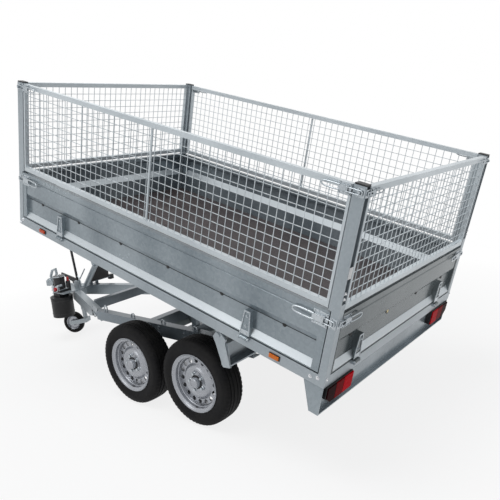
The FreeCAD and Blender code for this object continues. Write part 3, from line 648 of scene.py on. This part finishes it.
# Caps on the posts, and the blank label on the left rear post
POST_INNER_V = 758.0
CAP_HIGH = 7.0
bm = bmesh.new()
for side, _ in SIDES:
    for u in (0.0, LENGTH - POST):
        foot = (u + 0.5, side * (POST_INNER_V + 0.5), POST_TOP)
        box_at(bm, foot, (u + POST - 0.5, side * (HALF - 0.5), POST_TOP + CAP_HIGH), 2.0)
finish_piece("post_caps", bm, BED, "bed", BLACK)
bm = bmesh.new()
box_at(bm, (-0.8, 764.0, 570.0), (0.2, 796.0, 627.0))
finish_piece("blank_label", bm, BED, "bed", LABEL)

# Side markers on the rails: lens, name and middle
MARKERS = ((AMBER, "rear", 298.0), (ORANGE, "front", 2331.0))
for material, label, u in MARKERS:
    lens = bmesh.new()
    base = bmesh.new()
    for side, _ in SIDES:
        box_at(base, (u - 34, side * HALF, 17.0), (u + 34, side * 804.0, 45.0), 1.5)
        box_at(lens, (u - 30, side * 803.5, 20.0), (u + 30, side * 812.0, 42.0), 3.0)
    finish_piece("marker_lens_" + label, lens, BED, "bed", material)
    finish_piece("marker_base_" + label, base, BED, "bed", BLACK)

# Plugs in the boards, a black strip as painted shade of the seam between the sheets, and the lock
# of the tailboard
PLUG_W = 213.0
PLUG = [(-1, 12.5), (2.6, 12.0), (3.8, 8.0), (4.0, 0.0)]
SIDE_PLUGS = (285.0, 701.0, 1116.0, 1532.0, 1955.0, 2364.0)
REAR_PLUGS = (-583.0, -195.0, 583.0)
REAR_FIELD_U = 22.0
LOCK_AT = (REAR_FIELD_U, 184.0, PLUG_W)
LOCK_RING = [(-1, 17.0), (2.0, 16.5), (3.0, 11.0)]
LOCK_BARREL = [(0, 11.2), (2.6, 11.0), (3.4, 8.0), (3.4, 0.0)]
for side, label in SIDES:
    bm = bmesh.new()
    for u in SIDE_PLUGS:
        turned(bm, PLUG, (u, side * FIELD_V, PLUG_W), (0, side, 0), 24)
    # Painted shade: a black strip in the seam, in place of the shade in its gap
    seam_shade_end = (LENGTH - FIELD_START, side * (FIELD_V + 1.0), PLUG_W + 1.0)
    box_at(bm, (FIELD_START, side * (FIELD_V - 0.5), PLUG_W - 2.2), seam_shade_end)
    finish_piece("board_plugs_" + label, bm, BED, label + "_board", BLACK)
bm = bmesh.new()
for v in REAR_PLUGS:
    turned(bm, PLUG, (REAR_FIELD_U, v, PLUG_W), (-1, 0, 0), 24)
turned(bm, LOCK_RING, LOCK_AT, (-1, 0, 0), 32)
finish_piece("board_plugs_rear", bm, BED, "rear_board", BLACK)
bm = bmesh.new()
turned(bm, LOCK_BARREL, LOCK_AT, (-1, 0, 0), 32)
finish_piece("board_lock_barrel", bm, BED, "rear_board", BRASS)

# Painted highlight: paler skins on the pressed ledges, low outside and half way up inside,
# where the ledges face the light: (out from the middle, up) of both edges, and which way the skin
# thickens
LEDGES = (((800.8, 75.0), (779.0, 110.6), -1.0), ((769.2, 209.0), (790.0, 252.6), 1.0))


# Painted highlight: pale skins laid over the ledges
def ledge_highlight_skins(label, body, face, length):
    bm = bmesh.new()
    for (out_a, low), (out_b, high), way in LEDGES:
        outline = [
            face.at(0, out_a, low), face.at(length, out_a, low), face.at(length, out_b, high),
            face.at(0, out_b, high),
        ]
        plate(bm, outline, face.out * way)
    finish_piece("board_ledge_highlights_" + label, bm, BED, body, ZINC_LEDGE_HIGHLIGHT)


for side, label in SIDES:
    face = Face((FIELD_START, 0, 0), (1, 0, 0), (0, side, 0))
    ledge_highlight_skins(label, label + "_board", face, LENGTH - 2 * FIELD_START)
face = Face((HALF, -REAR_FIELD_HALF, 0), (0, 1, 0), (-1, 0, 0))
ledge_highlight_skins("rear", "rear_board", face, 2 * REAR_FIELD_HALF)
face = Face((LENGTH - HALF, -REAR_FIELD_HALF, 0), (0, 1, 0), (1, 0, 0))
ledge_highlight_skins("front", "bed", face, 2 * REAR_FIELD_HALF)

# Hinge straps: raised edges, foot, head and bolts; across the strap, and up
STRAP_LOW = 68.0
STRAP_HIGH = 204.0
STRAP_OUT = 6.0
STRAP_EDGE = ((33, STRAP_LOW), (27, STRAP_LOW), (13.5, STRAP_HIGH), (19.5, STRAP_HIGH))
STRAP_FOOT = ((-33, STRAP_LOW), (33, STRAP_LOW), (29, STRAP_LOW + 26), (-29, STRAP_LOW + 26))
STRAP_HEAD = ((-17, STRAP_HIGH - 8), (17, STRAP_HIGH - 8), (15, STRAP_HIGH), (-15, STRAP_HIGH))


def strap_skin(bm, face):
    for way in (-1, 1):
        plate(bm, [face.at(way * a, 0, w) for a, w in STRAP_EDGE], face.out * 4.5, 0.8)
    plate(bm, [face.at(a, 0, w) for a, w in STRAP_FOOT], face.out * 3.0, 0.8)
    plate(bm, [face.at(a, 0, w) for a, w in STRAP_HEAD], face.out * 4.5, 0.8)
    for w in (118.0, 174.0):
        bolt(bm, face.at(0, 0, w), face.out, 9.0, 4.0)


for side, label in SIDES:
    bm = bmesh.new()
    for u in SIDE_STRAPS:
        strap_skin(bm, Face((u, side * (HALF + STRAP_OUT), 0), (1, 0, 0), (0, side, 0)))
    finish_piece("strap_faces_" + label, bm, BED, label + "_board", ZINC_BRIGHT)
bm = bmesh.new()
for side, _ in SIDES:
    strap_skin(bm, Face((-STRAP_OUT, side * REAR_STRAP, 0), (0, 1, 0), (-1, 0, 0)))
finish_piece("strap_faces_rear", bm, BED, "rear_board", ZINC_BRIGHT)

# Heads of the hinge pins, at both ends of each strap's knuckle
PIN_OUT = 12.0
KNUCKLE_HALF = 30.0
HEAD_END = KNUCKLE_HALF + 4.0
bm = bmesh.new()
for side, _ in SIDES:
    places = [((u, side * (HALF + PIN_OUT), PIN_W), (1, 0, 0)) for u in SIDE_STRAPS]
    places.append(((-PIN_OUT, side * REAR_STRAP, PIN_W), (0, 1, 0)))
    for middle, along in places:
        for way in (-1, 1):
            start_at = Vector(middle) + Vector(along) * way * KNUCKLE_HALF
            bar(bm, start_at, Vector(middle) + Vector(along) * way * HEAD_END, 7.5, 6.5)
finish_piece("hinge_pin_heads", bm, BED, "bed", ZINC_BRIGHT)

# Rear lamps: black housings with three lenses, from the middle of the bed outwards; the middle and
# outer lenses are painted shade, darker outwards
LAMP_LOW, LAMP_HIGH = -104.6, -6.6
LENS_LOW, LENS_HIGH = LAMP_LOW + 3, LAMP_HIGH - 3
HOUSING = (
    (518.0, LAMP_LOW), (730.0, LAMP_LOW), (770.0, LAMP_LOW + 34), (770.0, LAMP_HIGH),
    (518.0, LAMP_HIGH),
)
LENSES = (
    ("inner", RED_LENS, (
        (521.0, LENS_LOW), (610.0, LENS_LOW), (610.0, LENS_HIGH), (521.0, LENS_HIGH),
    )),
    ("middle", RED_HALF_SHADE, (
        (611.0, LENS_LOW), (688.0, LENS_LOW), (688.0, LENS_HIGH), (611.0, LENS_HIGH),
    )),
    ("outer", RED_FULL_SHADE, (
        (689.0, LENS_LOW), (729.0, LENS_LOW), (767.0, LENS_LOW + 32), (767.0, LENS_HIGH),
        (689.0, LENS_HIGH),
    )),
)
bm = bmesh.new()
for side, _ in SIDES:
    plate(bm, [(25.7, side * v, w) for v, w in HOUSING], (-33.0, 0, 0), 3.0)
finish_piece("lamp_housings", bm, BED, "bed", BLACK, ("rear_lamps",))
for part, material, shape in LENSES:
    bm = bmesh.new()
    for side, _ in SIDES:
        plate(bm, [(-7.0, side * v, w) for v, w in shape], (-7.0, 0, 0), 1.5)
    finish_piece("lamp_lens_" + part, bm, BED, "bed", material)

# ---------------------------------------------------------------- chassis fittings
# Rope rings on the beams: along the beam, and height over it
BEAM_TOP = 486.0
BEAM_FACE = 500.0
RING_Y = 470.0
RINGS = ((215.0, 22.0), (522.0, 22.0), (840.0, 22.0), (1150.0, 40.0))
for side, label in SIDES:
    for i, (x, high) in enumerate(RINGS):
        arch = [(-16, -2), (-16, high * 0.6), (-9, high), (9, high), (16, high * 0.6), (16, -2)]
        points = [(x + a, side * RING_Y, BEAM_TOP + up) for a, up in arch]
        name = "rope_ring_%s_%d" % (label, i)
        wire(name, points, 5.5, CHASSIS, "chassis", ZINC_BRIGHT)

# Bolts of the axles, crossbars, bed hinge and draw tube: places along, heights, size, length
BEAM_BOLTS = (
    ((-45.0, 45.0, 541.0, 631.0), (420.0, 462.0), 16.0, 9.0),
    ((300.0, 670.0), (428.0, 458.0), 12.0, 7.0),
)
HINGE_BOLT_Y = 775.0
TUBE_FACE = 40.0
bm = bmesh.new()
for side, _ in SIDES:
    for places, heights, across, long in BEAM_BOLTS:
        for x in places:
            for z in heights:
                bolt(bm, (x, side * BEAM_FACE, z), (0, side, 0), across, long)
    bolt(bm, (HINGE.x, side * HINGE_BOLT_Y, HINGE.z), (0, side, 0), 22.0, 8.0)
    for x in (2260.0, 2330.0):
        bolt(bm, (x, side * TUBE_FACE, 405.0), (0, side, 0), 14.0, 8.0)
finish_piece("chassis_bolts", bm, CHASSIS, "chassis", ZINC_BRIGHT)


# Junction plates from the beams to the drawbar legs, and black patches on the legs as painted shade
def leg_y(x):
    """The middle line of a drawbar leg."""
    return 0.41 * (2325.0 - x)


LEG_OUT_X, LEG_OUT_Y = 0.38, 0.925
PLATE_OUT = 32.6
PLATE_THICK = 5.6
PLATE = ((1240.0, 421.0), (1390.0, 421.0), (1390.0, 452.0), (1360.0, 496.0), (1240.0, 496.0))
# Painted shade: a black patch on each leg, where its channel lies in shade
LEG_SHADE_PATCH = ((1402.0, 381.0), (1450.0, 381.0), (1450.0, 433.0), (1402.0, 433.0))
bm = bmesh.new()
for side, _ in SIDES:
    outline = [(x, side * (leg_y(x) + PLATE_OUT), z) for x, z in PLATE]
    plate(bm, outline, (2.3, side * PLATE_THICK, 0), 0.8)
    for x in (1265.0, 1310.0, 1360.0):
        spot = (x + 2.3, side * (leg_y(x) + PLATE_OUT + PLATE_THICK), 437.0)
        bolt(bm, spot, (LEG_OUT_X, side * LEG_OUT_Y, 0), 14.0, 8.0)
finish_piece("junction_plates", bm, CHASSIS, "chassis", ZINC_BAR)
bm = bmesh.new()
for side, _ in SIDES:
    outline = [(x, side * (leg_y(x) + 14.0), z) for x, z in LEG_SHADE_PATCH]
    plate(bm, outline, (0, side * 12.0, 0), 1.0)
finish_piece("leg_shade_patches", bm, CHASSIS, "chassis", BLACK)

# Pump pack: round parts as profile, place, axis and steps
PACK_X, PACK_Y = 2154.0, 212.0
PACK_TOP = 596.6
RED_CAPS = (
    ([(0, 12.0), (26, 11.0), (34, 7.0), (34.5, 0.0)], (2114.0, 152.0, 541.6), (0, 0, 1), 28),
    ([(0, 13.0), (30, 13.0), (33, 10.0), (33.2, 0.0)], (2199.0, 190.0, 468.0), (1, 0, 0), 28),
    ([(0, 17.0), (20, 17.0), (24, 13.0), (24.2, 0.0)], (2140.0, 257.0, 486.0), (0, 1, 0), 32),
)
ROUND_FITTINGS = (
    ([(-12, 27.0), (4, 27.0), (7, 24.0), (7, 16.0)], (2140.0, 257.0, 486.0), (0, 1, 0), 40),
    ([(-30, 15.0), (8, 15.0), (10, 13.0), (10, 0.0)], (2182.0, 262.0, 500.0), (0, 1, 0), 32),
    ([(-30, 10.0), (14, 10.0), (16, 8.0), (16, 0.0)], (2100.0, 257.0, 520.0), (0, 1, 0), 32),
    ([(0, 46.0), (0, 50.5), (7, 50.5), (7, 46.0)], (PACK_X, PACK_Y, 589.0), (0, 0, 1), 64),
)
MOTOR_BAND = [(-3, 48.0), (-3, 49.6), (3, 49.6), (3, 48.0)]
TANK_BAND = [(-4, 94.0), (-4, 95.6), (4, 95.6), (4, 94.0)]
PACK_BANDS = (
    (MOTOR_BAND, 500.0, 64), (MOTOR_BAND, 575.0, 64), (TANK_BAND, 262.0, 72),
    (TANK_BAND, 380.0, 72),
)
bm = bmesh.new()
for profile, at, axis, steps in RED_CAPS:
    turned(bm, profile, at, axis, steps)
finish_piece("pack_red_caps", bm, CHASSIS, "chassis", RED_CAP)
bm = bmesh.new()
for profile, at, axis, steps in ROUND_FITTINGS:
    turned(bm, profile, at, axis, steps)
box_at(bm, (2092.0, 165.0, 478.0), (2200.5, 258.5, 482.0), 1.2)
for x, y, z in ((2210.0, 240.0, 432.0), (2199.0, 250.0, 468.0)):
    bar(bm, (x - 12, y, z), (x + 14, y, z), 12.0, sides=6)
    bar(bm, (x + 14, y, z), (x + 26, y, z), 8.0)
for degrees in (45.0, 135.0, 225.0, 315.0):
    x = PACK_X + 40.0 * math.cos(math.radians(degrees))
    y = PACK_Y + 40.0 * math.sin(math.radians(degrees))
    bolt(bm, (x, y, PACK_TOP), (0, 0, 1), 7.0, 4.0)
bolt(bm, (PACK_X, PACK_Y, PACK_TOP), (0, 0, 1), 16.0, 8.0)
bolt(bm, (2100.0, 140.0, 541.6), (0, 0, 1), 5.0, 12.0, False)
finish_piece("pack_fittings", bm, CHASSIS, "chassis", ZINC_BRIGHT)
bm = bmesh.new()
for profile, z, steps in PACK_BANDS:
    turned(bm, profile, (PACK_X, PACK_Y, z), (0, 0, 1), steps)
finish_piece("pack_bands", bm, CHASSIS, "chassis", PAINT)

# Battery box: catches over its lid, and ribs
CATCH_X = (2040.0, 2076.0)
CATCH_HALF = 7.0
RIB_Z = (530.0, 570.0, 610.0, 650.0)
bm = bmesh.new()
for x in CATCH_X:
    box_at(bm, (x - CATCH_HALF, -232.5, 678.0), (x + CATCH_HALF, -222.0, 714.5), 1.2)
    box_at(bm, (x - CATCH_HALF, -232.5, 712.0), (x + CATCH_HALF, -138.0, 715.0), 1.0)
for z in RIB_Z:
    box_at(bm, (2022.0, -218.0, z), (2094.5, -160.0, z + 5), 1.0)
finish_piece("battery_box_ribs", bm, CHASSIS, "chassis", BLACK)

# Jockey wheel: clamp round its leaning tube, with a clamping screw, and the stay rod
JOCKEY_FOOT = Vector((2150.0, 0.0, 118.0))
JOCKEY_LEAN = Vector((0.12, 0.0, 1.0))
CLAMP_AT = JOCKEY_FOOT + JOCKEY_LEAN * (474.0 - JOCKEY_FOOT.z)
CLAMP = [(-14, 24.0), (-14, 27.5), (-12, 28.5), (12, 28.5), (14, 27.5), (14, 24.0)]
bm = bmesh.new()
turned(bm, CLAMP, CLAMP_AT, JOCKEY_LEAN, 48)
bar(bm, CLAMP_AT + Vector((0, 26, 0)), CLAMP_AT + Vector((0, 52, 0)), 5.5)
bar(bm, CLAMP_AT + Vector((-20, 50, 0)), CLAMP_AT + Vector((20, 50, 0)), 4.0)
finish_piece("jockey_clamp", bm, CHASSIS, "chassis", ZINC_BRIGHT)
STAY = [(2020, 26, 628), (2110, 26, 530), (2121, 26, 521), (2145, 26, 551)]
wire("stay_rod", STAY, 5.5, CHASSIS, "chassis", ZINC_BRIGHT)

# ---------------------------------------------------------------- camera
# Sizes in pixels of the photograph's frame; the place in metres
IMAGE = 500.0
FOCAL = 573.053
IMAGE_CENTRE = (250.72, 258.391)
SENSOR = 36.0
CAMERA_AT = (-5.00878, 2.91717, 1.27631)
view = bpy.data.cameras.new("photo_view")
camera = add("photo_view", view)
right = Vector((-0.775449, -0.626472, -0.078812))
down = Vector((-0.075206, 0.215570, -0.973588))
forward = Vector((0.626916, -0.749041, -0.214278))
turn = Matrix((right, -down, -forward)).transposed().to_4x4()
camera.matrix_world = Matrix.Translation(CAMERA_AT) @ turn
view.sensor_width = SENSOR
view.lens = FOCAL / IMAGE * SENSOR
view.shift_x = (IMAGE / 2 - IMAGE_CENTRE[0]) / IMAGE
view.shift_y = (IMAGE_CENTRE[1] - IMAGE / 2) / IMAGE
bpy.context.scene.camera = camera
bpy.context.scene.view_settings.view_transform = "Standard"


# ---------------------------------------------------------------- light
def area_light(name, at, target, size, power):
    lamp = bpy.data.lights.new(name, "AREA")
    lamp.shape = "DISK"
    lamp.size = size
    lamp.energy = power
    aim = (Vector(target) - Vector(at)).to_track_quat("-Z", "Y").to_matrix().to_4x4()
    add(name, lamp).matrix_world = Matrix.Translation(Vector(at)) @ aim


area_light("sky_above", (-2.2, 1.4, 6.0), (-2.3, 0.0, 0.0), 4.0, 215.0)
area_light("left_side", (-0.5, 6.5, 3.0), (-2.2, 0.0, 0.4), 3.0, 38.0)
area_light("rear_side", (-8.5, -1.0, 2.4), (-3.0, 0.0, 0.3), 3.0, 25.0)

# Soft light on the trailer, and plain white where the world itself is seen
WHITE = (1.0, 1.0, 1.0)
world = bpy.data.worlds.new("studio")
bpy.context.scene.world = world
world.use_nodes = True
sky = Nodes(world.node_tree)
soft = sky.node("ShaderNodeBackground", {}, {"Color": (0.93, 0.96, 1.0), "Strength": 0.32})
bright = sky.node("ShaderNodeBackground", {}, {"Color": WHITE, "Strength": 1.0})
mixed = sky.node("ShaderNodeMixShader", {}, {0: sky.seen_rays(), 1: soft, 2: bright})
sky.node("ShaderNodeOutputWorld", {}, {0: mixed})

# ---------------------------------------------------------------- floor
# It keeps the shadow near the trailer and fades to white further away.
SHADOW_CENTRE = (-2.2, 0.0, -0.4)
FADE_START, FADE_END = 1.9, 4.0
NEAR_WHITE = 0.83
ground = Finish("pale_floor", metallic=0.0, roughness=0.9, base_color=(0.86, 0.86, 0.86))
away = ground.node(
    "ShaderNodeVectorMath", {"operation": "DISTANCE"}, {0: ground.place, 1: SHADOW_CENTRE},
    "Value",
)
fade = ground.clamp(away, FADE_START, FADE_END, NEAR_WHITE, 1.0)
white = ground.node("ShaderNodeEmission", {}, {"Color": WHITE, "Strength": 1.0})
surface = Socket(ground, ground.shader.outputs[0])
sockets = {0: ground.seen_rays() * fade, 1: surface, 2: white}
faded = ground.node("ShaderNodeMixShader", {}, sockets)
ground.tree.links.new(faded.out, ground.end.inputs[0])
FLOOR_SIZE = 40.0
FLOOR_AT = Vector((-2.0, 0.0, -0.4275))
bm = bmesh.new()
bmesh.ops.create_grid(bm, x_segments=1, y_segments=1, size=FLOOR_SIZE)
bmesh.ops.translate(bm, vec=FLOOR_AT, verts=bm.verts)
add_mesh("floor_plane", bm, ground.material)
